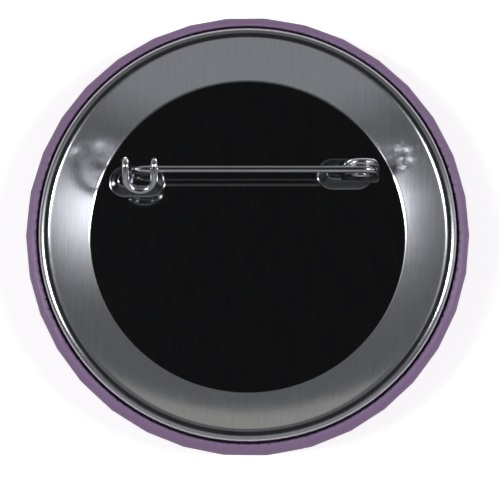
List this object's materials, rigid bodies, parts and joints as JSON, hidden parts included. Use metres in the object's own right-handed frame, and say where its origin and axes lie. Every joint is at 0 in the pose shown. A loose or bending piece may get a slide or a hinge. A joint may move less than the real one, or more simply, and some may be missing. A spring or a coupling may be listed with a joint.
{
  "type": "button badge",
  "caption": "Round tinplate button badge with a plain purple face under clear film, a bright dished ring, a black back plate and a sprung wire pin with a looped catch.",
  "frame": {"origin": "middle of the badge at the crown of its face, which rests on the surface", "axes": "+Z out of the pinned back; the needle runs along X with its point towards -X, and lies on the +Y side of the middle"},
  "size_m": [0.0572, 0.0572, 0.0099],
  "materials": {
    "tinplate": "plain tinplate sheet",
    "printed_paper": "plain purple print, no lettering",
    "clear_film": "clear gloss polyester film",
    "bright_tinplate": "bright tinplate with faint rolling grain",
    "black_plate": "gloss black over faintly grained sheet",
    "wire": "nickel-plated spring wire"
  },
  "bodies": {
    "badge": {"front_shell": "tinplate", "graphic": "printed_paper", "clear_film": "clear_film", "collet_ring": "bright_tinplate", "back_plate": "black_plate", "base_wire": "wire", "catch": "wire"},
    "coil": {"anchor_coil": "wire"},
    "pin": {"needle_coil": "wire", "needle": "wire"}
  },
  "joints": [
    {"name": "needle_swing", "type": "hinge", "parent": "badge", "child": "coil", "pos_m": [0.0146, 0.00877, 0.00646], "axis": [0, -0.515, 0.8572], "range_deg": [0, 10], "stiffness_Nm_per_rad": 0.05},
    {"name": "needle_lift", "type": "hinge", "parent": "coil", "child": "pin", "pos_m": [0.0146, 0.0078, 0.00646], "axis": [0, 1, 0], "range_deg": [0, 60], "stiffness_Nm_per_rad": 0.02}
  ]
}
